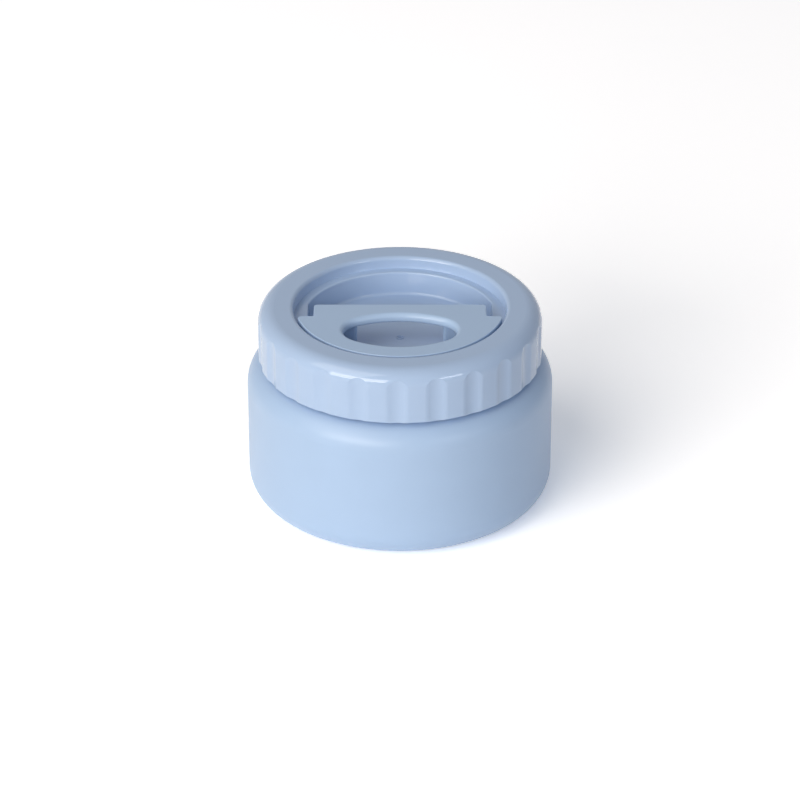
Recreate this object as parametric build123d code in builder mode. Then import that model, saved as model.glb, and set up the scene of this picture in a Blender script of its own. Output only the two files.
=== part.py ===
from build123d import *
from math import radians, tan
import os

# Insulated food jar: a double-walled steel jar with a wide mouth and a screw lid.
# The lid has a round recess in its top, where a half-moon handle lies folded flat.
# Millimetres. The origin is the centre of the face that the jar stands on, +Z is up,
# and -Y is the front, where the handle's free edge lies.

# --- Driving dimensions: jar ------------------------------------------------------------------
body_r = 50.0               # outside radius of the jar's wall
base_edge_r = 8.5           # rounding where the wall turns into the base
base_ring_w = 5.5           # flat ring that the jar stands on
shoulder_top_z = 47.5       # height of the shoulder's flat top
shoulder_edge_r = 8.0       # rounding where the wall turns into the shoulder
shoulder_w = 9.4            # from the wall in to the neck
neck_foot_r = 1.0           # rounding between shoulder and neck
neck_h = 11.0               # from the shoulder up to the mouth's rim
outer_t = 0.5               # sheet of the outer shell
liner_t = 0.5               # sheet of the inner liner
wall_gap = 4.0              # evacuated gap beside the food space
neck_gap = 0.3              # evacuated gap inside the neck
shoulder_gap = 3.0          # evacuated gap under the shoulder
liner_floor_z = 7.0         # height of the food space's floor
liner_corner_r = 10.0       # rounding round that floor
liner_shoulder_r = 4.0      # rounding at the top of the food space
foil_t = 0.12               # reflective foil round the liner
foil_gap = 0.05             # looseness of the foil
foil_margin = 1.0           # bare liner between the foil and the roundings

# --- Driving dimensions: base -----------------------------------------------------------------
base_plate_t = 0.5          # sheet of the base plate
base_plate_lap = 3.0        # how far the base plate laps over the shell's base
base_plate_rise = 2.3       # how far the base plate is dished up
base_plate_step = 1.0       # width of the dish's sloping side
base_plate_bend_r = 0.8     # rounding of its bends
dimple_r = 5.0              # dimple round the evacuation hole
dimple_rise = 1.2
evacuation_hole_r = 1.0
solder_r = 2.6              # bead of solder that plugs the hole
solder_h = 0.9
base_cover_t = 0.8          # cover that hides the solder
base_cover_gap = 0.6        # gap round the cover's edge
base_cover_edge_r = 0.25
getter_r = 4.5              # getter pellet that keeps the vacuum
getter_t = 1.6
getter_inset = 18.0         # from the base's opening in to the getter's middle
getter_cup_t = 0.3
getter_cup_foot = 2.0       # width of the cup's welded foot
getter_window_r = 2.8       # window in the cup

# --- Driving dimensions: thread ---------------------------------------------------------------
thread_starts = 3
thread_lead = 12.0          # rise of the lid in one turn
thread_h = 1.05             # height of a thread rib over its wall
thread_root = 2.6           # width of a rib at its wall
thread_crest = 1.2          # width of a rib at its top
thread_turn = 108.0         # degrees that each rib runs
thread_first = 6.0          # degrees from +X to the first rib's start
thread_rim_gap = 0.6        # bare neck between the thread and the rim's fold
thread_slack = 0.35         # radial clearance between a rib and the other wall
thread_play = 0.25          # clearance between the flanks of two ribs, along the axis
thread_bite = 0.2           # how far a rib is rooted in its wall

# --- Driving dimensions: lid ------------------------------------------------------------------
lid_shoulder_gap = 1.1      # from the shoulder up to the skirt's lower edge
lid_edge_r = 5.2            # rounding between skirt and top ring
lid_wall = 2.0              # moulded wall of the top and the recess
skirt_wall = 2.8            # moulded wall of the skirt at its lands
skirt_foot_r = 0.4          # rounding of the skirt's lower edge
snap_lip = 0.9              # snap lip that holds the lid liner, inwards
snap_lip_h = 0.5
flute_count = 23
flute_phase = -1.1          # degrees from the front to the nearest flute's middle
flute_r = 9.5               # radius of a flute's hollow
flute_depth = 0.6
flute_edge_r = 4.0          # softening of a flute's long edges
recess_gap = 0.2            # clearance between the recess wall and the plug
recess_lean = 0.4           # how far the recess wall leans in, from mouth to ledge
opening_edge_r = 1.3        # rounding of the recess's mouth
ledge_depth = 4.0           # from the top ring down to the handle's ledge
ledge_w = 3.0               # width of the ledge
pocket_depth = 7.75         # from the ledge down to the pocket's floor
pocket_flat = 1.4           # how much the pocket is cut off straight beside the hinge
pocket_corner_r = 3.0       # rounding between its straight and its round walls
pocket_edge_r = 0.6         # rounding of the ledge's inner edge
pocket_floor_edge_r = 1.0   # rounding round the floor
pocket_draft = 5.0          # degrees that the pocket's wall leans
hidden_corner_r = 0.5       # roundings inside the lid
rib_count = 12              # ribs under the top ring
rib_t = 1.2
rib_bite = 0.2              # how far a rib runs into the walls beside it
gate_mark_r = 1.3           # moulding gate's witness ring on the pocket's floor
gate_mark_w = 0.3
gate_mark_h = 0.2

# --- Driving dimensions: lid liner, seal and insulation ---------------------------------------
ring_wall = 1.4             # moulded wall of the thread ring
ring_fit = 0.1              # clearance between thread ring and skirt
flange_t = 1.4
plug_mouth_gap = 0.3        # clearance between the plug's bead and the mouth
plug_wall = 1.6
plug_depth = 10.6           # from the flange down to the plug's underside
plug_edge_r = 2.0
plug_bead = 0.4             # bead that keeps the seal in its groove
plug_bead_h = 0.8
seal_t = 1.25
seal_overhang = 0.6         # how far the seal stands out past the rim
seal_fit = 0.1              # clearance between the seal and its groove
seal_rim_gap = 0.35         # gap between the seal and the rim, as stored
seal_groove_gap = 0.25      # gap between the seal and the plug's bead
seal_edge_r = 0.5           # rounding of the seal's edges
foam_t = 1.65               # insulation between the pocket and the plug
foam_fit = 0.3              # clearance round the insulation
foam_edge_h = 2.65          # height of its upstanding edge
foam_chamfer = 0.8          # step that clears the plug's inner corner

# --- Driving dimensions: handle ---------------------------------------------------------------
handle_wall_gap = 0.4       # gap round the handle's round edge
handle_ledge_gap = 0.4      # gap between the handle and its ledge
handle_sink = 0.3           # handle's top below the top ring
handle_edge_r = 0.25        # rounding of the handle's outer edges
handle_tab_gap = 2.0        # gap beside the handle's tab
handle_tab_corner_r = 1.2
handle_ear_gap = 0.9        # ears stand this clear of the ledge when upright
handle_ear_tip_r = 1.3
handle_notch_r = 0.8        # inner corner between tab and ear
grip_bar = 7.4              # bar in front of the finger hole
grip_rear_y = -5.4          # rear side of the finger hole
grip_rear_r = 30.0          # radius of that side
grip_corner_r = 7.7         # rounding of the finger hole's two ends
grip_top_edge_r = 1.6       # rounding of the finger hole's upper edge
grip_low_edge_r = 1.3       # rounding of its lower edge

# --- Driving dimensions: hinge ----------------------------------------------------------------
hinge_y = -1.5
block_inner_x = 14.0        # where each hinge block starts, from the middle
block_r = 2.9               # block behind and below the pin's axis
block_nose = 0.2            # how much further the block reaches in front
block_floor_gap = 0.65      # clearance between block and pocket floor
block_edge_r = 1.1          # rounding of the block's front edges
boss_r = 2.4                # round boss at the block's outer end
boss_wall_gap = 0.4         # gap between boss and pocket wall
pin_r = 1.2
pin_depth = 7.0             # how far a pin enters its block
pin_clearance = 0.05        # radial clearance of a pin in its block
pin_head_r = 2.0
pin_head_t = 0.7
pin_head_gap = 0.2          # clearance between a pin's head and the ledge's underside

# --- Radii, from the jar's wall inwards -------------------------------------------------------
base_opening_r = body_r - base_edge_r - base_ring_w
getter_x = base_opening_r - getter_inset
liner_r = body_r - outer_t - wall_gap                 # outside of the liner
neck_r = body_r - shoulder_w                          # outside of the neck
liner_neck_r = neck_r - outer_t - neck_gap            # outside of the liner's neck
mouth_r = liner_neck_r - liner_t                      # inside of the neck
ring_inner_r = neck_r + thread_h + thread_slack       # inside of the thread ring
ring_outer_r = ring_inner_r + ring_wall
skirt_inner_r = ring_outer_r + ring_fit
lid_r = skirt_inner_r + skirt_wall                    # outside of the lid at its lands
plug_r = mouth_r - plug_mouth_gap - plug_bead
plug_inner_r = plug_r - plug_wall
recess_outer_r = plug_inner_r - recess_gap            # hidden side of the recess wall
opening_r = recess_outer_r - lid_wall                 # recess at its mouth
ledge_wall_r = opening_r - recess_lean                # recess at its ledge
pocket_r = ledge_wall_r - ledge_w
bowl_outer_r = pocket_r + lid_wall                    # hidden side of the pocket wall
handle_r = ledge_wall_r - handle_wall_gap
grip_front_r = handle_r - grip_bar
seal_inner_r = plug_r + seal_fit
seal_outer_r = neck_r + seal_overhang

# --- Heights, from the base upwards -----------------------------------------------------------
base_plate_z = outer_t + base_plate_rise              # underside of the dished plate
dimple_z = base_plate_z + dimple_rise                 # underside of its dimple
getter_z = base_plate_z + base_plate_t
liner_shoulder_z = shoulder_top_z - outer_t - shoulder_gap
foil_low_z = liner_floor_z + liner_corner_r + foil_margin
foil_high_z = liner_shoulder_z - liner_shoulder_r - foil_margin
rim_z = shoulder_top_z + neck_h
neck_edge_z = rim_z - liner_t                         # where the liner's rim lies on the neck
seal_low_z = rim_z + seal_rim_gap
seal_seat_z = seal_low_z + seal_t + seal_fit          # underside of the flange
flange_top_z = seal_seat_z + flange_t
bead_high_z = seal_low_z - seal_groove_gap
bead_low_z = bead_high_z - plug_bead_h
plug_low_z = seal_seat_z - plug_depth
plug_floor_z = plug_low_z + plug_wall
bowl_low_z = plug_floor_z + foam_t                    # underside of the pocket's floor
pocket_floor_z = bowl_low_z + lid_wall
ledge_z = pocket_floor_z + pocket_depth
hinge_z = pocket_floor_z + block_floor_gap + block_r
# The ledge takes the room between the pocket's depth and the heads of the hinge pins
ledge_low_z = hinge_z + pin_head_r + pin_head_gap     # underside of the ledge
lid_top_z = ledge_z + ledge_depth
top_underside_z = lid_top_z - lid_wall
rib_h = top_underside_z - flange_top_z
hidden_edge_r = min(lid_edge_r - lid_wall, rib_h)     # hidden side of the skirt's rounding
lid_low_z = shoulder_top_z + lid_shoulder_gap
ring_low_z = lid_low_z + snap_lip_h
handle_low_z = ledge_z + handle_ledge_gap
handle_top_z = lid_top_z - handle_sink
handle_t = handle_top_z - handle_low_z

# --- Across the hinge -------------------------------------------------------------------------
pocket_half_width = pocket_r - pocket_flat
tab_half_width = pocket_half_width - handle_tab_gap
tab_rear_y = hinge_y + block_r
ear_rear_y = hinge_y - (ledge_z - hinge_z) - handle_ear_gap
# The pocket's wall leans in as it goes down, so the boss stops short of its foot
boss_low = ledge_z - hinge_z + boss_r
boss_end_x = pocket_half_width - boss_low * tan(radians(pocket_draft)) - boss_wall_gap
pin_end_x = tab_half_width - pin_depth

# --- Thread -----------------------------------------------------------------------------------
thread_rise = thread_lead * thread_turn / 360         # rise of one rib
neck_thread_z = neck_edge_z - thread_rim_gap - thread_root / 2 - thread_rise
# Two ribs reach past each other by the overlap. The lid's rib runs one flank's width
# and the play under the neck's.
thread_overlap = thread_h - thread_slack
flank_share = (thread_h - thread_overlap / 2) / thread_h
flank_w = thread_root - (thread_root - thread_crest) * flank_share
lid_thread_z = neck_thread_z - flank_w - thread_play

front_angle = -90.0         # the front, -Y, as an angle from +X
height_match = 0.01         # two heights this close count as one

os.makedirs("parts", exist_ok=True)


def flat_faces(body, height):
    """The level faces of a body that lie at a height."""
    level = body.faces().filter_by(GeomType.PLANE).filter_by(Axis.Z)
    return level.filter_by_position(Axis.Z, height - height_match, height + height_match)


def thread_rib(wall_r, low_z, outwards):
    """One helical rib, rooted in a round wall."""
    side = 1 if outwards else -1
    with BuildPart() as rib:
        with BuildLine() as path:
            Helix(thread_lead, thread_rise, wall_r, center=(0, 0, low_z))
        start = Plane(origin=path.line @ 0, x_dir=(side, 0, 0), z_dir=path.line % 0)
        with BuildSketch(start):
            with BuildLine():
                Polyline(
                    (-thread_bite, -thread_root / 2),
                    (0, -thread_root / 2),
                    (thread_h, -thread_crest / 2),
                    (thread_h, thread_crest / 2),
                    (0, thread_root / 2),
                    (-thread_bite, thread_root / 2),
                    close=True,
                )
            make_face()
        sweep(path=path.line, is_frenet=True)
    return rib.part


# --- Outer shell: drawn steel, open below, with the neck's thread -----------------------------
with BuildPart() as outer_shell:
    with BuildSketch(Plane.XZ):
        with BuildLine():
            FilletPolyline(
                (base_opening_r, 0),
                (body_r, 0),
                (body_r, shoulder_top_z),
                (neck_r, shoulder_top_z),
                (neck_r, neck_edge_z),
                radius=(base_edge_r, shoulder_edge_r, neck_foot_r),
            )
            offset(amount=outer_t, side=Side.LEFT)
        make_face()
    revolve(axis=Axis.Z)
    neck_rib = thread_rib(neck_r, neck_thread_z, outwards=True)
    with PolarLocations(0, thread_starts, start_angle=thread_first):
        add(neck_rib)

# --- Inner liner: drawn steel, its rim folded out over the outer shell's neck -----------------
with BuildPart() as inner_liner:
    with BuildSketch(Plane.XZ):
        with BuildLine():
            FilletPolyline(
                (0, liner_floor_z - liner_t),
                (liner_r, liner_floor_z - liner_t),
                (liner_r, liner_shoulder_z),
                (liner_neck_r, liner_shoulder_z),
                (liner_neck_r, neck_edge_z),
                (neck_r, neck_edge_z),
                radius=(liner_corner_r, liner_shoulder_r, neck_foot_r, 0),
            )
            offset(amount=liner_t, side=Side.LEFT)
        make_face()
    revolve(axis=Axis.Z)

# --- Base plate: dished steel disc welded on the shell's base, with a dimple in its middle ----
with BuildPart() as base_plate:
    dish_r = base_opening_r - base_plate_t
    with BuildSketch(Plane.XZ):
        with BuildLine():
            FilletPolyline(
                (evacuation_hole_r, dimple_z),
                (dimple_r - base_plate_step, dimple_z),
                (dimple_r, base_plate_z),
                (dish_r - base_plate_step, base_plate_z),
                (dish_r, outer_t),
                (base_opening_r + base_plate_lap, outer_t),
                radius=base_plate_bend_r,
            )
            offset(amount=base_plate_t, side=Side.LEFT)
        make_face()
    revolve(axis=Axis.Z)

# --- Vacuum seal: bead of solder in the dimple, under the evacuation hole ---------------------
with BuildPart() as vacuum_seal:
    with BuildSketch(Plane.XZ):
        with BuildLine():
            FilletPolyline(
                (0, dimple_z - solder_h),
                (solder_r - solder_h, dimple_z - solder_h),
                (solder_r, dimple_z),
                (0, dimple_z),
                radius=(solder_h / 2, 0),
            )
            Line((0, dimple_z), (0, dimple_z - solder_h))
        make_face()
    revolve(axis=Axis.Z)

# --- Base cover: flat disc glued under the base plate -----------------------------------------
with BuildPart() as base_cover:
    with BuildSketch(Plane.XY.offset(base_plate_z)):
        Circle(dish_r - base_plate_step - base_cover_gap)
    extrude(amount=-base_cover_t)
    fillet(base_cover.faces().sort_by(Axis.Z)[0].edges(), base_cover_edge_r)

# --- Getter: pellet on the base plate, inside the vacuum --------------------------------------
with BuildPart() as getter:
    with BuildSketch(Plane.XY.offset(getter_z)):
        with Locations((getter_x, 0)):
            Circle(getter_r)
    extrude(amount=getter_t)

# --- Getter cup: thin spot-welded cup with a foot and a window, over the pellet ---------------
with BuildPart() as getter_cup:
    getter_cup_r = getter_r + getter_cup_t
    with BuildSketch(Plane.XY.offset(getter_z)):
        with Locations((getter_x, 0)):
            Circle(getter_cup_r + getter_cup_foot)
    extrude(amount=getter_cup_t)
    with BuildSketch(Plane.XY.offset(getter_z)):
        with Locations((getter_x, 0)):
            Circle(getter_cup_r)
    extrude(amount=getter_t + getter_cup_t)
    with BuildSketch(Plane.XY.offset(getter_z)):
        with Locations((getter_x, 0)):
            Circle(getter_r)
    extrude(amount=getter_t, mode=Mode.SUBTRACT)
    with BuildSketch(Plane.XY.offset(getter_z)):
        with Locations((getter_x, 0)):
            Circle(getter_window_r)
    extrude(amount=getter_t + getter_cup_t, mode=Mode.SUBTRACT)

# --- Foil: thin reflective wrap round the liner -----------------------------------------------
with BuildPart() as heat_foil:
    foil_r = liner_r + foil_gap
    with BuildSketch(Plane.XY.offset(foil_low_z)):
        Circle(foil_r + foil_t)
        Circle(foil_r, mode=Mode.SUBTRACT)
    extrude(amount=foil_high_z - foil_low_z)

# --- Outline of the lid's skirt: shallow hollow flutes all round, with softened edges ---------
with BuildSketch(Plane.XY.offset(lid_low_z)) as fluted_outline:
    Circle(lid_r)
    with PolarLocations(lid_r - flute_depth + flute_r, flute_count,
                        start_angle=front_angle + flute_phase):
        Circle(flute_r, mode=Mode.SUBTRACT)
    fillet(fluted_outline.vertices(), flute_edge_r)

# --- Lid shell: moulded top with fluted skirt, recess, ledge and pocket -----------------------
with BuildPart() as lid_shell:
    with BuildSketch(Plane.XZ):
        with BuildLine():
            lid_profile = FilletPolyline(
                (0, ledge_z),
                (ledge_wall_r, ledge_z),
                (opening_r, lid_top_z),
                (lid_r, lid_top_z),
                (lid_r, lid_low_z),
                (skirt_inner_r - snap_lip, lid_low_z),
                (skirt_inner_r - snap_lip, ring_low_z),
                (skirt_inner_r, ring_low_z),
                (skirt_inner_r, top_underside_z),
                (recess_outer_r, top_underside_z),
                (recess_outer_r, ledge_low_z),
                (bowl_outer_r, ledge_low_z),
                (bowl_outer_r, bowl_low_z),
                (0, bowl_low_z),
                radius=(0, opening_edge_r, lid_edge_r, skirt_foot_r, 0, 0, 0,
                        hidden_edge_r, hidden_corner_r, hidden_corner_r,
                        hidden_corner_r, pocket_floor_edge_r),
            )
            Line(lid_profile @ 1, lid_profile @ 0)
        make_face()
    revolve(axis=Axis.Z)
    # Pocket below the ledge, round with two straight sides beside the hinge
    with BuildSketch(Plane.XY.offset(ledge_z)) as pocket_outline:
        Circle(pocket_r)
        Rectangle(2 * pocket_half_width, 2 * pocket_r, mode=Mode.INTERSECT)
        fillet(pocket_outline.vertices(), pocket_corner_r)
    extrude(amount=-pocket_depth, taper=pocket_draft, mode=Mode.SUBTRACT)
    fillet(flat_faces(lid_shell, ledge_z)[0].inner_wires().edges(), pocket_edge_r)
    fillet(flat_faces(lid_shell, pocket_floor_z).edges(), pocket_floor_edge_r)
    # Ribs under the top ring, which press the lid liner home
    with BuildSketch(Plane.XY.offset(flange_top_z)):
        with PolarLocations((recess_outer_r + skirt_inner_r) / 2, rib_count):
            Rectangle(skirt_inner_r - recess_outer_r + 2 * rib_bite, rib_t)
    extrude(amount=rib_h + rib_bite)
    # Flutes: only what lies inside the fluted outline stays
    extrude(fluted_outline.sketch, amount=lid_top_z - lid_low_z, mode=Mode.INTERSECT)
    # Witness mark of the moulding gate in the middle of the floor
    with BuildSketch(Plane.XY.offset(pocket_floor_z)):
        Circle(gate_mark_r)
        Circle(gate_mark_r - gate_mark_w, mode=Mode.SUBTRACT)
        Circle(gate_mark_w)
    extrude(amount=gate_mark_h)
    # Holes that the hinge pins are pressed through
    with BuildSketch(Plane.YZ):
        with Locations((hinge_y, hinge_z)):
            Circle(pin_r)
    extrude(amount=plug_inner_r, both=True, mode=Mode.SUBTRACT)

# --- Lid liner: thread ring, flange over the rim, and the plug in the mouth -------------------
with BuildPart() as lid_liner:
    with BuildSketch(Plane.XZ):
        with BuildLine():
            liner_profile = FilletPolyline(
                (0, plug_low_z),
                (plug_r, plug_low_z),
                (plug_r, bead_low_z),
                (plug_r + plug_bead, bead_low_z + plug_bead),
                (plug_r + plug_bead, bead_high_z),
                (plug_r, bead_high_z),
                (plug_r, seal_seat_z),
                (ring_inner_r, seal_seat_z),
                (ring_inner_r, ring_low_z),
                (ring_outer_r, ring_low_z),
                (ring_outer_r, flange_top_z),
                (plug_inner_r, flange_top_z),
                (plug_inner_r, plug_floor_z),
                (0, plug_floor_z),
                radius=(plug_edge_r, 0, 0, 0, 0, 0, 0, 0, 0, 0, 0, foam_chamfer),
            )
            Line(liner_profile @ 1, liner_profile @ 0)
        make_face()
    revolve(axis=Axis.Z)
    lid_rib = thread_rib(ring_inner_r, lid_thread_z, outwards=False)
    with PolarLocations(0, thread_starts, start_angle=thread_first):
        add(lid_rib)

# --- Seal ring: silicone, held in the plug's groove over the rim ------------------------------
with BuildPart() as seal_ring:
    with BuildSketch(Plane.XZ):
        with Locations(((seal_inner_r + seal_outer_r) / 2, seal_low_z + seal_t / 2)):
            RectangleRounded(seal_outer_r - seal_inner_r, seal_t, seal_edge_r)
    revolve(axis=Axis.Z)

# --- Lid insulation: shallow foam tray between the pocket and the plug ------------------------
with BuildPart() as lid_insulation:
    foam_outer_r = plug_inner_r - foam_fit
    with BuildSketch(Plane.XY.offset(plug_floor_z)):
        Circle(foam_outer_r - foam_chamfer)
    extrude(amount=foam_t)
    with BuildSketch(Plane.XY.offset(bowl_low_z)):
        Circle(foam_outer_r)
        Circle(bowl_outer_r + foam_fit, mode=Mode.SUBTRACT)
    extrude(amount=foam_edge_h)

# --- Hinge block: square in front, round behind the pin, with a boss and a blind bore ---------
with BuildPart() as hinge_block:
    block_top = handle_low_z + handle_t / 2 - hinge_z
    with BuildSketch(Plane.YZ.offset(block_inner_x)):
        with Locations((hinge_y, hinge_z)):
            Circle(block_r)
            Rectangle(block_r, block_top, align=Align.MIN)
        with Locations((hinge_y - block_r - block_nose, hinge_z - block_r)):
            Rectangle(block_r + block_nose, block_top + block_r, align=Align.MIN)
    extrude(amount=tab_half_width - block_inner_x)
    fillet(hinge_block.faces().sort_by(Axis.Y)[0].edges(), block_edge_r)
    with BuildSketch(Plane.YZ.offset(pin_end_x)):
        with Locations((hinge_y, hinge_z)):
            Circle(boss_r)
    extrude(amount=boss_end_x - pin_end_x)
    with BuildSketch(Plane.YZ.offset(pin_end_x)):
        with Locations((hinge_y, hinge_z)):
            Circle(pin_r + pin_clearance)
    extrude(amount=boss_end_x - pin_end_x, mode=Mode.SUBTRACT)

# --- Handle: half-moon plate with a finger hole, a straight tab and two ears ------------------
with BuildPart() as handle:
    with BuildSketch(Plane.XY.offset(handle_low_z)) as handle_outline:
        Circle(handle_r)
        with Locations((0, ear_rear_y)):
            Rectangle(2 * handle_r, 2 * handle_r, align=(Align.CENTER, Align.MIN),
                      mode=Mode.SUBTRACT)
        fillet(handle_outline.vertices(), handle_ear_tip_r)
        with Locations((0, ear_rear_y)):
            Rectangle(2 * tab_half_width, tab_rear_y - ear_rear_y,
                      align=(Align.CENTER, Align.MIN))
        fillet(handle_outline.vertices().group_by(Axis.Y)[-1], handle_tab_corner_r)
        tab_ends = handle_outline.edges().filter_by(Axis.Y).vertices()
        fillet(tab_ends.group_by(Axis.Y)[0], handle_notch_r)
    extrude(amount=handle_t)
    fillet(handle.faces().sort_by(Axis.Z)[-1].edges(), handle_edge_r)
    with BuildSketch(Plane.XY.offset(handle_low_z)) as grip_outline:
        Circle(grip_front_r)
        with Locations((0, grip_rear_y - grip_rear_r)):
            Circle(grip_rear_r, mode=Mode.INTERSECT)
        fillet(grip_outline.vertices(), grip_corner_r)
    extrude(amount=handle_t, mode=Mode.SUBTRACT)
    fillet(handle.faces().sort_by(Axis.Z)[-1].inner_wires().edges(), grip_top_edge_r)
    fillet(handle.faces().sort_by(Axis.Z)[0].inner_wires().edges(), grip_low_edge_r)
    add(hinge_block.part)
    mirror(hinge_block.part, about=Plane.YZ)

# --- Hinge pins: steel, pressed through the pocket's wall into the hinge blocks ---------------
with BuildPart() as hinge_pin_right:
    with BuildSketch(Plane.YZ.offset(pin_end_x)):
        with Locations((hinge_y, hinge_z)):
            Circle(pin_r)
    extrude(amount=bowl_outer_r - pin_end_x)
    with BuildSketch(Plane.YZ.offset(bowl_outer_r)):
        with Locations((hinge_y, hinge_z)):
            Circle(pin_head_r)
    extrude(amount=pin_head_t)

with BuildPart() as hinge_pin_left:
    mirror(hinge_pin_right.part, about=Plane.YZ)

pieces = {
    "outer_shell": outer_shell,
    "inner_liner": inner_liner,
    "base_plate": base_plate,
    "vacuum_seal": vacuum_seal,
    "base_cover": base_cover,
    "getter": getter,
    "getter_cup": getter_cup,
    "heat_foil": heat_foil,
    "lid_shell": lid_shell,
    "lid_liner": lid_liner,
    "lid_insulation": lid_insulation,
    "seal_ring": seal_ring,
    "handle": handle,
    "hinge_pin_left": hinge_pin_left,
    "hinge_pin_right": hinge_pin_right,
}
for name, piece in pieces.items():
    piece.part.label = name
    export_step(piece.part, f"parts/{name}.step")
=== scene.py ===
"""Insulated food jar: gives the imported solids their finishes, and sets the stage round them."""
import math

import bpy
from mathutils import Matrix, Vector


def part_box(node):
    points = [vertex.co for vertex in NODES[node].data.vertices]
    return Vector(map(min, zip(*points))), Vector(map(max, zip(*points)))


bl_info = {
    "name": "Insulated food jar",
    "version": (1, 0, 0),
    "blender": (4, 5, 0),
    "location": "3D View > Sidebar > Food jar",
    "description": "Finishes and stage for a steel food jar with a folding lid handle",
    "category": "Object",
}

MM = 0.001

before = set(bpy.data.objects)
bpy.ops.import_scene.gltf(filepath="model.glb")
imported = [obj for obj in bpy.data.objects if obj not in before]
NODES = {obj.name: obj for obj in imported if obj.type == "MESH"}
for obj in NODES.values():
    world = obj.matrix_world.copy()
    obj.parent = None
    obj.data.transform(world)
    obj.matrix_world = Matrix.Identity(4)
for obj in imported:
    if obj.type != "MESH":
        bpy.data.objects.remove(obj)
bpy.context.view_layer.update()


def linear(hex_colour):
    """A colour written as sRGB hex, as linear red, green, blue and an alpha of 1."""
    channels = [int(hex_colour[i:i + 2], 16) / 255 for i in (1, 3, 5)]
    return [c / 12.92 if c <= 0.04045 else ((c + 0.055) / 1.055) ** 2.4 for c in channels] + [1.0]


# Places on the jar that the finishes depend on, read from the frame
LID_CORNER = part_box("lid_shell")[1]
JAR_HEIGHT = LID_CORNER.z
# The powder coat ends under the lid's skirt, this far inside the lid's widest circle
COAT_INSET = 3.6 * MM
COAT_EDGE_RADIUS = LID_CORNER.x - COAT_INSET
# Below this height, the rolled foot is coated too
FOOT_HEIGHT = 1.0 * MM

# Slow changes of tone, as wide as the patches that a spray or a melt leaves
SPRAY_PATCH = 16 * MM
MELT_PATCH = 20 * MM
SILICONE_HAZE = 3 * MM
# Grains, and the depth of the dents between them
FOAM_BEAD = 3 * MM
FOAM_GROOVE = 0.2 * MM
GETTER_GRAIN = 0.5 * MM
GETTER_PIT = 0.05 * MM

# How much lighter and darker a pattern makes its colour, as a share of that colour
SPRAY_TONE = 0.025
MELT_TONE = 0.015
TURNING_TONE = 0.05
DENT_TONE = 0.08
GETTER_TONE = 0.3
SILICONE_TONE = 0.03
FOAM_TONE = 0.04

# Roughness, from 0 for a mirror to 1 for chalk
BARE_NECK_ROUGHNESS = 0.24
COAT_ROUGHNESS = 0.38
LID_ROUGHNESS = 0.06
LINER_ROUGHNESS = 0.3
HANDLE_ROUGHNESS_LOW = 0.26
HANDLE_ROUGHNESS_HIGH = 0.36
# A polishing line makes steel this much smoother or rougher than it is on the whole
TURNING_SMOOTHER = 0.05
TURNING_ROUGHER = 0.08

POLYESTER_IOR = 1.5
POLYPROPYLENE_IOR = 1.49
SILICONE_IOR = 1.41

# A colour mix takes its two colours at inputs 6 and 7, and gives the mixed one at this output
MIXED = 2

# Each lamp: its azimuth, 0 at the front and growing to the right, and its elevation, in
# degrees; then its width and height in metres
LAMPS = {
    "front_softbox": (-33, 19, 2.0, 1.0),
    "high_softbox": (-56, 48, 1.8, 1.8),
    "fill_lamp": (41, 22, 0.7, 0.5),
}

FLOOR_SIDES = 128
# The floor lies just under the foot, so that the two faces don't coincide
FLOOR_DROP = 0.02 * MM
# The camera's sensor in millimetres, and the nearest and farthest that it sees in metres
SENSOR_WIDTH = 36
CLIP_NEAR = 0.05
CLIP_FAR = 20


# --- Sizes and colours that a user would change -----------------------------------------------

def colour(name, about, hex_colour):
    """A colour that can be changed, with its default as sRGB hex."""
    return bpy.props.FloatVectorProperty(
        name=name, description=about, subtype="COLOR", size=4, min=0.0, max=1.0,
        default=linear(hex_colour))


def length(name, about, millimetres):
    """A length that can be changed, with its default in millimetres."""
    return bpy.props.FloatProperty(
        name=name, description=about, unit="LENGTH", subtype="DISTANCE", min=0.0,
        precision=5, default=millimetres * MM)


class FoodJarFinish(bpy.types.PropertyGroup):
    """Colours of the jar's pieces, and the sizes that their surface patterns are drawn at"""
    coat_colour: colour("Powder coat", "Colour of the baked powder coat on the body", "#AAC3E1")
    lid_colour: colour("Lid", "Colour of the glossy moulded lid", "#ACC3E1")
    handle_colour: colour("Handle", "Colour of the satin moulded handle", "#AEC7E4")
    liner_colour: colour("Lid liner", "Colour of the moulded lid liner", "#C9D7EC")
    seal_colour: colour("Seal ring", "Colour of the silicone seal", "#E4E8EC")
    steel_colour: colour("Stainless steel", "Colour of bare stainless steel", "#C8C7C4")
    foam_colour: colour("Insulation", "Colour of the lid's foam tray", "#F1F1EE")
    coat_wave: length("Orange peel", "Width of one wave in the powder coat", 1.1)
    coat_depth: length("Orange peel depth", "Height of the waves in the powder coat", 0.012)
    grain_wave: length("Handle grain", "Width that the handle's grain is drawn at", 0.7)
    grain_depth: length("Handle grain depth", "Height of that grain", 0.006)
    sink_wave: length("Lid waviness", "Width of the moulding's slow waves in the gloss", 9.0)
    sink_depth: length("Lid waviness depth", "Height of those waves", 0.006)
    spin_line: length("Turning lines", "Spacing that spun steel's lines are drawn at", 0.6)
    spin_depth: length("Turning line depth", "Depth of those lines", 0.001)


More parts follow.
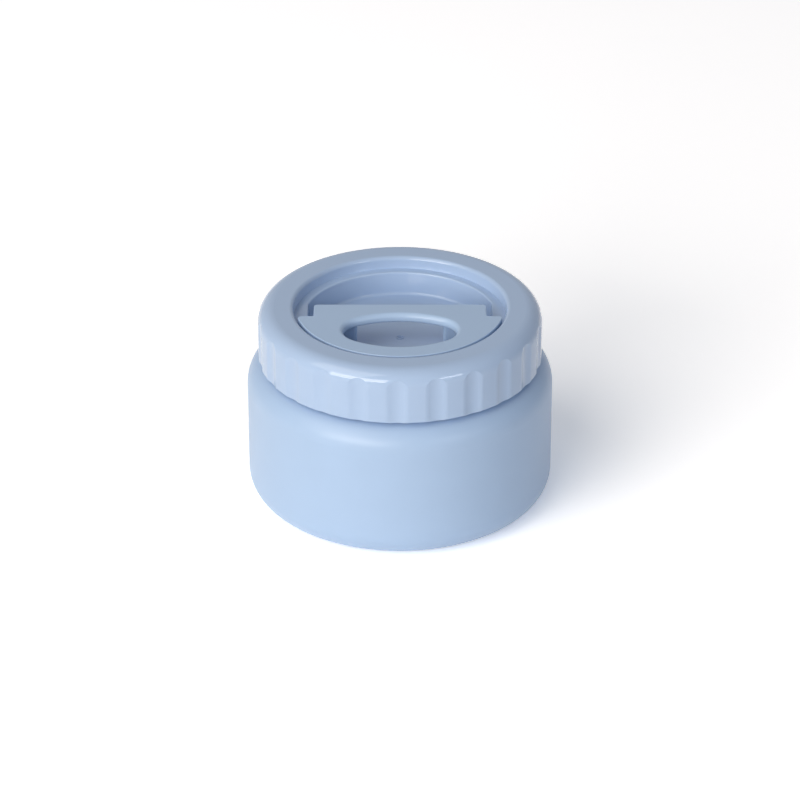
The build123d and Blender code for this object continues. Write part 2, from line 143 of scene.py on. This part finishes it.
class FoodJarStage(bpy.types.PropertyGroup):
    """Floor, lamps and camera"""
    floor_colour: colour("Floor", "Colour of the pale floor", "#F9F9F9")
    floor_radius: length("Floor radius", "Radius of the round floor", 900.0)
    floor_gain: bpy.props.FloatProperty(
        name="Floor gain", description="How much light the floor gives back to the eye",
        min=0.0, default=1.55)
    floor_lift: bpy.props.FloatProperty(
        name="Floor lift", description="How bright the floor's shadows stay to the eye",
        subtype="FACTOR", min=0.0, max=1.0, default=0.14)
    lamp_colour: colour("Lamp colour", "Warm white of the softboxes", "#FFF8F0")
    room_colour: colour("Room colour", "Cool white of the fill and the room", "#F0F5FF")
    lamp_distance: length("Lamp distance", "From the jar to the lamps", 2500.0)
    front_watts: bpy.props.FloatProperty(
        name="Front lamp power", description="Power of the low softbox, front left",
        unit="POWER", default=41.0)
    high_watts: bpy.props.FloatProperty(
        name="High lamp power", description="Power of the high softbox, left",
        unit="POWER", default=21.0)
    fill_watts: bpy.props.FloatProperty(
        name="Fill lamp power", description="Power of the fill lamp, front right",
        unit="POWER", default=6.5)
    room_light: bpy.props.FloatProperty(
        name="Room light", description="Strength of the even light from all sides",
        subtype="FACTOR", min=0.0, max=1.0, default=0.24)
    room_shine: bpy.props.FloatProperty(
        name="Room shine", description="How bright the room looks in a reflection",
        subtype="FACTOR", min=0.0, max=1.0, default=0.82)
    backdrop_colour: colour("Backdrop", "Colour that the eye sees past the floor", "#FFFFFF")
    camera_elevation: bpy.props.FloatProperty(
        name="Camera elevation", description="Camera's height above the horizon",
        subtype="ANGLE", unit="ROTATION", default=math.radians(29.107))
    camera_distance: length("Camera distance", "From the camera to what it looks at", 1265.7)
    camera_aim: length("Camera aim", "Height of the point that the camera looks at", 31.46)
    camera_lens: bpy.props.FloatProperty(
        name="Lens", description="Focal length of the lens", subtype="DISTANCE_CAMERA",
        default=172.87)


# --- Materials --------------------------------------------------------------------------------

def set_inputs(tree, node, **inputs):
    """Sets each named input to a value or links an output to it. i6 stands for input 6."""
    for name, value in inputs.items():
        by_number = name[0] == "i" and name[1:].isdigit()
        socket = node.inputs[int(name[1:]) if by_number else name.replace("_", " ")]
        if isinstance(value, bpy.types.NodeSocket):
            tree.links.new(value, socket)
        else:
            socket.default_value = value


def add_node(tree, kind, settings=None, **inputs):
    """Adds one node with its settings, and fills its inputs."""
    node = tree.nodes.new("ShaderNode" + kind)
    for name, value in (settings or {}).items():
        setattr(node, name, value)
    set_inputs(tree, node, **inputs)
    return node


def new_material(name):
    """An empty material with a shader, and the tree to build its finish in."""
    material = bpy.data.materials.new(name)
    material.use_nodes = True
    tree = material.node_tree
    tree.nodes.clear()
    shader = add_node(tree, "BsdfPrincipled")
    add_node(tree, "OutputMaterial", Surface=shader.outputs[0])
    return material, tree, shader


def dress(node_name, material):
    """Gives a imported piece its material, whatever slots it came with."""
    mesh = NODES[node_name].data
    mesh.materials.clear()
    mesh.materials.append(material)


def shade(tree, colour_value, spread, pattern):
    """A colour that a pattern from 0 to 1 makes lighter and darker by a spread."""
    dark = [c * (1 - spread) for c in colour_value[:3]] + [1.0]
    light = [min(1.0, c * (1 + spread)) for c in colour_value[:3]] + [1.0]
    mix = add_node(tree, "Mix", {"data_type": "RGBA"}, Factor=pattern, i6=dark, i7=light)
    return mix.outputs[MIXED]


def powder_coated_steel(look):
    """Steel with a baked polyester powder coat: satin, with a fine orange peel.

    The coat stops under the lid's skirt, so the neck and its thread are bare drawn steel.
    """
    material, tree, shader = new_material("powder_coated_steel")
    place = add_node(tree, "TexCoord").outputs["Object"]
    peel = add_node(tree, "TexNoise", Vector=place, Scale=1 / look.coat_wave, Detail=2.0,
                    Roughness=0.55)
    cloud = add_node(tree, "TexNoise", Vector=place, Scale=1 / SPRAY_PATCH, Detail=2.0)
    axes = add_node(tree, "SeparateXYZ", Vector=place)
    flat = add_node(tree, "CombineXYZ", X=axes.outputs["X"], Y=axes.outputs["Y"])
    radius = add_node(tree, "VectorMath", {"operation": "LENGTH"}, i0=flat.outputs[0])
    outside = add_node(tree, "Math", {"operation": "GREATER_THAN"},
                       i0=radius.outputs["Value"], i1=COAT_EDGE_RADIUS)
    under = add_node(tree, "Math", {"operation": "LESS_THAN"},
                     i0=axes.outputs["Z"], i1=FOOT_HEIGHT)
    coated = add_node(tree, "Math", {"operation": "MAXIMUM"},
                      i0=outside.outputs[0], i1=under.outputs[0])
    coat = shade(tree, look.coat_colour, SPRAY_TONE, cloud.outputs["Fac"])
    base = add_node(tree, "Mix", {"data_type": "RGBA"}, Factor=coated.outputs[0],
                    i6=list(look.steel_colour), i7=coat)
    bare = add_node(tree, "Math", {"operation": "SUBTRACT"}, i0=1.0, i1=coated.outputs[0])
    gloss = add_node(tree, "MapRange", Value=coated.outputs[0],
                     To_Min=BARE_NECK_ROUGHNESS, To_Max=COAT_ROUGHNESS)
    bump = add_node(tree, "Bump", Height=peel.outputs["Fac"], Distance=look.coat_depth)
    set_inputs(tree, shader, Base_Color=base.outputs[MIXED], Metallic=bare.outputs[0],
               Roughness=gloss.outputs[0], Normal=bump.outputs[0], IOR=POLYESTER_IOR)
    return material


def glossy_polypropylene(name, look, colour_value, roughness):
    """Polypropylene from a polished mould: a clear gloss that waves slowly over sink marks."""
    material, tree, shader = new_material(name)
    place = add_node(tree, "TexCoord").outputs["Object"]
    sink = add_node(tree, "TexNoise", Vector=place, Scale=1 / look.sink_wave, Detail=1.0)
    flow = add_node(tree, "TexNoise", Vector=place, Scale=1 / MELT_PATCH, Detail=2.0)
    bump = add_node(tree, "Bump", Height=sink.outputs["Fac"], Distance=look.sink_depth)
    tone = shade(tree, colour_value, MELT_TONE, flow.outputs["Fac"])
    set_inputs(tree, shader, Base_Color=tone, Normal=bump.outputs[0], Roughness=roughness,
               IOR=POLYPROPYLENE_IOR)
    return material


def satin_polypropylene(look):
    """Polypropylene from a spark-eroded mould: an even satin with a fine grain."""
    material, tree, shader = new_material("satin_polypropylene")
    place = add_node(tree, "TexCoord").outputs["Object"]
    # The real grain is about 0.3 mm, too fine to show, so it is drawn coarser
    grain = add_node(tree, "TexNoise", Vector=place, Scale=1 / look.grain_wave, Detail=2.0)
    flow = add_node(tree, "TexNoise", Vector=place, Scale=1 / MELT_PATCH, Detail=2.0)
    bump = add_node(tree, "Bump", Height=grain.outputs["Fac"], Distance=look.grain_depth)
    gloss = add_node(tree, "MapRange", Value=grain.outputs["Fac"],
                     To_Min=HANDLE_ROUGHNESS_LOW, To_Max=HANDLE_ROUGHNESS_HIGH)
    tone = shade(tree, look.handle_colour, MELT_TONE, flow.outputs["Fac"])
    set_inputs(tree, shader, Base_Color=tone, Roughness=gloss.outputs[0],
               Normal=bump.outputs[0], IOR=POLYPROPYLENE_IOR)
    return material


def spun_stainless_steel(name, look, roughness, rings):
    """Stainless sheet polished while it spins: fine lines run round the axis.

    Rings is true for a flat disc, whose lines are circles, and false for a wall.
    """
    material, tree, shader = new_material(name)
    place = add_node(tree, "TexCoord").outputs["Object"]
    axes = add_node(tree, "SeparateXYZ", Vector=place)
    flat = add_node(tree, "CombineXYZ", X=axes.outputs["X"], Y=axes.outputs["Y"])
    radius = add_node(tree, "VectorMath", {"operation": "LENGTH"}, i0=flat.outputs[0])
    across = radius.outputs["Value"] if rings else axes.outputs["Z"]
    # Real polishing lines are finer than 0.1 mm, too fine to show, so they are drawn coarser
    lines = add_node(tree, "TexNoise", {"noise_dimensions": "1D"}, W=across,
                     Scale=1 / look.spin_line, Detail=3.0, Roughness=0.6)
    bump = add_node(tree, "Bump", Height=lines.outputs["Fac"], Distance=look.spin_depth)
    gloss = add_node(tree, "MapRange", Value=lines.outputs["Fac"],
                     To_Min=roughness - TURNING_SMOOTHER, To_Max=roughness + TURNING_ROUGHER)
    tone = shade(tree, look.steel_colour, TURNING_TONE, lines.outputs["Fac"])
    set_inputs(tree, shader, Base_Color=tone, Roughness=gloss.outputs[0],
               Normal=bump.outputs[0], Metallic=1.0)
    return material


def crumpled_metal(name, hex_colour, roughness, wave, depth):
    """Tin solder or aluminium foil: bright metal with soft, uneven dents."""
    material, tree, shader = new_material(name)
    place = add_node(tree, "TexCoord").outputs["Object"]
    dents = add_node(tree, "TexNoise", Vector=place, Scale=1 / wave, Detail=3.0)
    bump = add_node(tree, "Bump", Height=dents.outputs["Fac"], Distance=depth)
    tone = shade(tree, linear(hex_colour), DENT_TONE, dents.outputs["Fac"])
    set_inputs(tree, shader, Base_Color=tone, Normal=bump.outputs[0], Metallic=1.0,
               Roughness=roughness)
    return material


def sintered_getter():
    """Pressed and sintered zirconium powder: dark, dry and pitted."""
    material, tree, shader = new_material("sintered_getter_powder")
    place = add_node(tree, "TexCoord").outputs["Object"]
    grit = add_node(tree, "TexVoronoi", Vector=place, Scale=1 / GETTER_GRAIN)
    bump = add_node(tree, "Bump", Height=grit.outputs["Distance"], Distance=GETTER_PIT)
    tone = shade(tree, linear("#4C4B4A"), GETTER_TONE, grit.outputs["Distance"])
    set_inputs(tree, shader, Base_Color=tone, Normal=bump.outputs[0], Roughness=0.85)
    return material


def moulded_silicone(look):
    """Moulded silicone rubber: milky, soft and a little translucent."""
    material, tree, shader = new_material("moulded_silicone")
    place = add_node(tree, "TexCoord").outputs["Object"]
    haze = add_node(tree, "TexNoise", Vector=place, Scale=1 / SILICONE_HAZE, Detail=2.0)
    tone = shade(tree, look.seal_colour, SILICONE_TONE, haze.outputs["Fac"])
    set_inputs(tree, shader, Base_Color=tone, Roughness=0.45, IOR=SILICONE_IOR,
               Subsurface_Weight=0.3, Subsurface_Radius=(1.0, 1.0, 1.0),
               Subsurface_Scale=1.0 * MM)
    return material


def bead_foam(look):
    """Expanded polystyrene: white, with the outlines of its fused beads."""
    material, tree, shader = new_material("expanded_polystyrene")
    place = add_node(tree, "TexCoord").outputs["Object"]
    beads = add_node(tree, "TexVoronoi", Vector=place, Scale=1 / FOAM_BEAD)
    bump = add_node(tree, "Bump", {"invert": True}, Height=beads.outputs["Distance"],
                    Distance=FOAM_GROOVE)
    tone = shade(tree, look.foam_colour, FOAM_TONE, beads.outputs["Distance"])
    set_inputs(tree, shader, Base_Color=tone, Normal=bump.outputs[0], Roughness=0.7)
    return material


# --- Operators: one for each piece or group of like pieces ------------------------------------

class FOODJAR_OT_body(bpy.types.Operator):
    """Powder-coats the outer shell, and leaves its neck bare"""
    bl_idname = "foodjar.body"
    bl_label = "Outer shell"

    def execute(self, context):
        dress("outer_shell", powder_coated_steel(context.scene.foodjar_finish))
        return {"FINISHED"}


class FOODJAR_OT_steel(bpy.types.Operator):
    """Polishes the steel cup, the base plate and its cover"""
    bl_idname = "foodjar.steel"
    bl_label = "Liner and base"

    def execute(self, context):
        look = context.scene.foodjar_finish
        dress("inner_liner", spun_stainless_steel("polished_steel_wall", look,
                                                  roughness=0.22, rings=False))
        disc = spun_stainless_steel("turned_steel_disc", look, roughness=0.28, rings=True)
        dress("base_plate", disc)
        dress("base_cover", disc)
        return {"FINISHED"}


class FOODJAR_OT_vacuum(bpy.types.Operator):
    """Finishes the solder bead, the getter in its cup and the foil"""
    bl_idname = "foodjar.vacuum"
    bl_label = "Vacuum pieces"

    def execute(self, context):
        look = context.scene.foodjar_finish
        dress("vacuum_seal", crumpled_metal("tin_solder", "#B9BABD", roughness=0.35,
                                            wave=2 * MM, depth=0.05 * MM))
        dress("heat_foil", crumpled_metal("aluminium_foil", "#DCDDDE", roughness=0.18,
                                          wave=6 * MM, depth=0.2 * MM))
        dress("getter_cup", spun_stainless_steel("pressed_steel_cup", look,
                                                 roughness=0.3, rings=True))
        dress("getter", sintered_getter())
        return {"FINISHED"}


class FOODJAR_OT_lid(bpy.types.Operator):
    """Gives the fluted lid its moulded gloss"""
    bl_idname = "foodjar.lid"
    bl_label = "Lid shell"

    def execute(self, context):
        look = context.scene.foodjar_finish
        dress("lid_shell", glossy_polypropylene("glossy_polypropylene", look,
                                                look.lid_colour, LID_ROUGHNESS))
        return {"FINISHED"}


class FOODJAR_OT_lid_inside(bpy.types.Operator):
    """Finishes the thread ring and plug, the seal and the insulation"""
    bl_idname = "foodjar.lid_inside"
    bl_label = "Inside of the lid"

    def execute(self, context):
        look = context.scene.foodjar_finish
        liner = glossy_polypropylene("food_grade_polypropylene", look,
                                     look.liner_colour, LINER_ROUGHNESS)
        dress("lid_liner", liner)
        dress("seal_ring", moulded_silicone(look))
        dress("lid_insulation", bead_foam(look))
        return {"FINISHED"}


class FOODJAR_OT_handle(bpy.types.Operator):
    """Gives the folding handle its satin grain"""
    bl_idname = "foodjar.handle"
    bl_label = "Handle"

    def execute(self, context):
        dress("handle", satin_polypropylene(context.scene.foodjar_finish))
        return {"FINISHED"}


class FOODJAR_OT_pins(bpy.types.Operator):
    """Polishes the two hinge pins"""
    bl_idname = "foodjar.pins"
    bl_label = "Hinge pins"

    def execute(self, context):
        steel = spun_stainless_steel("drawn_steel_pin", context.scene.foodjar_finish,
                                     roughness=0.2, rings=True)
        dress("hinge_pin_left", steel)
        dress("hinge_pin_right", steel)
        return {"FINISHED"}


def seen_by_eye(tree):
    """1 where a ray shows a surface, straight, mirrored or through glass, else 0."""
    ray = add_node(tree, "LightPath")
    seen = ray.outputs["Is Camera Ray"]
    for kind in ("Is Glossy Ray", "Is Transmission Ray"):
        seen = add_node(tree, "Math", {"operation": "MAXIMUM"}, i0=seen,
                        i1=ray.outputs[kind]).outputs[0]
    return seen


def floor_material(stage):
    """Pale matt board. Where it is seen, it is lifted to white, and it keeps the shadow."""
    material = bpy.data.materials.new("matt_white_board")
    material.use_nodes = True
    tree = material.node_tree
    tree.nodes.clear()
    seen = seen_by_eye(tree)
    tone = add_node(tree, "Mix", {"data_type": "RGBA"}, Factor=seen,
                    i6=list(stage.floor_colour), i7=[stage.floor_gain] * 3 + [1.0])
    lift = add_node(tree, "Math", {"operation": "MULTIPLY"}, i0=seen, i1=stage.floor_lift)
    board = add_node(tree, "BsdfDiffuse", Color=tone.outputs[MIXED])
    glow = add_node(tree, "Emission", Strength=lift.outputs[0])
    both = add_node(tree, "AddShader", i0=board.outputs[0], i1=glow.outputs[0])
    add_node(tree, "OutputMaterial", Surface=both.outputs[0])
    return material


def room(scene, stage):
    """Even light from all sides, as a large pale room gives."""
    world = bpy.data.worlds.new("pale_room")
    world.use_nodes = True
    tree = world.node_tree
    tree.nodes.clear()
    ray = add_node(tree, "LightPath")
    shine = add_node(tree, "MapRange", Value=ray.outputs["Is Glossy Ray"],
                     To_Min=stage.room_light, To_Max=stage.room_shine)
    level = add_node(tree, "Math", {"operation": "MAXIMUM"}, i0=shine.outputs[0],
                     i1=ray.outputs["Is Camera Ray"])
    tint = add_node(tree, "Mix", {"data_type": "RGBA"}, Factor=ray.outputs["Is Camera Ray"],
                    i6=list(stage.room_colour), i7=list(stage.backdrop_colour))
    light = add_node(tree, "Background", Color=tint.outputs[MIXED], Strength=level.outputs[0])
    add_node(tree, "OutputWorld", Surface=light.outputs[0])
    scene.world = world


def aim(thing, place, target):
    """Puts a lamp or camera at a place, looking at a target."""
    thing.location = place
    thing.rotation_euler = (Vector(target) - Vector(place)).to_track_quat("-Z", "Y").to_euler()


def softbox(name, stage, watts, tint):
    """A rectangular lamp that looks at the middle of the jar."""
    azimuth, elevation, width, height = LAMPS[name]
    lamp = bpy.data.lights.new(name, "AREA")
    lamp.shape = "RECTANGLE"
    lamp.color = tint[:3]
    lamp.size, lamp.size_y, lamp.energy = width, height, watts
    holder = bpy.data.objects.new(name, lamp)
    bpy.context.scene.collection.objects.link(holder)
    turn, rise = math.radians(azimuth), math.radians(elevation)
    target = Vector((0, 0, JAR_HEIGHT / 2))
    direction = Vector((math.sin(turn) * math.cos(rise), -math.cos(turn) * math.cos(rise),
                        math.sin(rise)))
    aim(holder, target + direction * stage.lamp_distance, target)


class FOODJAR_OT_stage(bpy.types.Operator):
    """Builds the pale floor, the pale room, the lamps and the camera"""
    bl_idname = "foodjar.stage"
    bl_label = "Stage"

    def execute(self, context):
        scene = context.scene
        stage = scene.foodjar_stage
        bpy.ops.mesh.primitive_circle_add(vertices=FLOOR_SIDES, radius=stage.floor_radius,
                                          fill_type="NGON", location=(0, 0, -FLOOR_DROP))
        floor = context.object
        floor.name = "floor"
        floor.data.materials.append(floor_material(stage))
        room(scene, stage)
        softbox("front_softbox", stage, stage.front_watts, stage.lamp_colour)
        softbox("high_softbox", stage, stage.high_watts, stage.lamp_colour)
        softbox("fill_lamp", stage, stage.fill_watts, stage.room_colour)
        lens = bpy.data.cameras.new("camera")
        lens.lens = stage.camera_lens
        lens.sensor_width = SENSOR_WIDTH
        lens.clip_start, lens.clip_end = CLIP_NEAR, CLIP_FAR
        camera = bpy.data.objects.new("camera", lens)
        scene.collection.objects.link(camera)
        rise = stage.camera_elevation
        target = Vector((0, 0, stage.camera_aim))
        back = Vector((0, -math.cos(rise), math.sin(rise))) * stage.camera_distance
        aim(camera, target + back, target)
        scene.camera = camera
        scene.view_settings.view_transform = "Standard"
        return {"FINISHED"}


STEPS = (
    FOODJAR_OT_body, FOODJAR_OT_steel, FOODJAR_OT_vacuum, FOODJAR_OT_lid,
    FOODJAR_OT_lid_inside, FOODJAR_OT_handle, FOODJAR_OT_pins, FOODJAR_OT_stage,
)


class FOODJAR_PT_pieces(bpy.types.Panel):
    """Lists the steps that dress the jar"""
    bl_idname = "FOODJAR_PT_pieces"
    bl_label = "Insulated food jar"
    bl_space_type = "VIEW_3D"
    bl_region_type = "UI"
    bl_category = "Food jar"

    def draw(self, context):
        for step in STEPS:
            self.layout.operator(step.bl_idname)


CLASSES = (FoodJarFinish, FoodJarStage) + STEPS + (FOODJAR_PT_pieces,)


def register():
    for part in CLASSES:
        bpy.utils.register_class(part)
    bpy.types.Scene.foodjar_finish = bpy.props.PointerProperty(type=FoodJarFinish)
    bpy.types.Scene.foodjar_stage = bpy.props.PointerProperty(type=FoodJarStage)


def unregister():
    del bpy.types.Scene.foodjar_stage
    del bpy.types.Scene.foodjar_finish
    for part in reversed(CLASSES):
        bpy.utils.unregister_class(part)


def main():
    """Dresses the jar and sets its stage."""
    register()
    for step in STEPS:
        group, name = step.bl_idname.split(".")
        getattr(getattr(bpy.ops, group), name)()


if __name__ == "__main__":
    main()
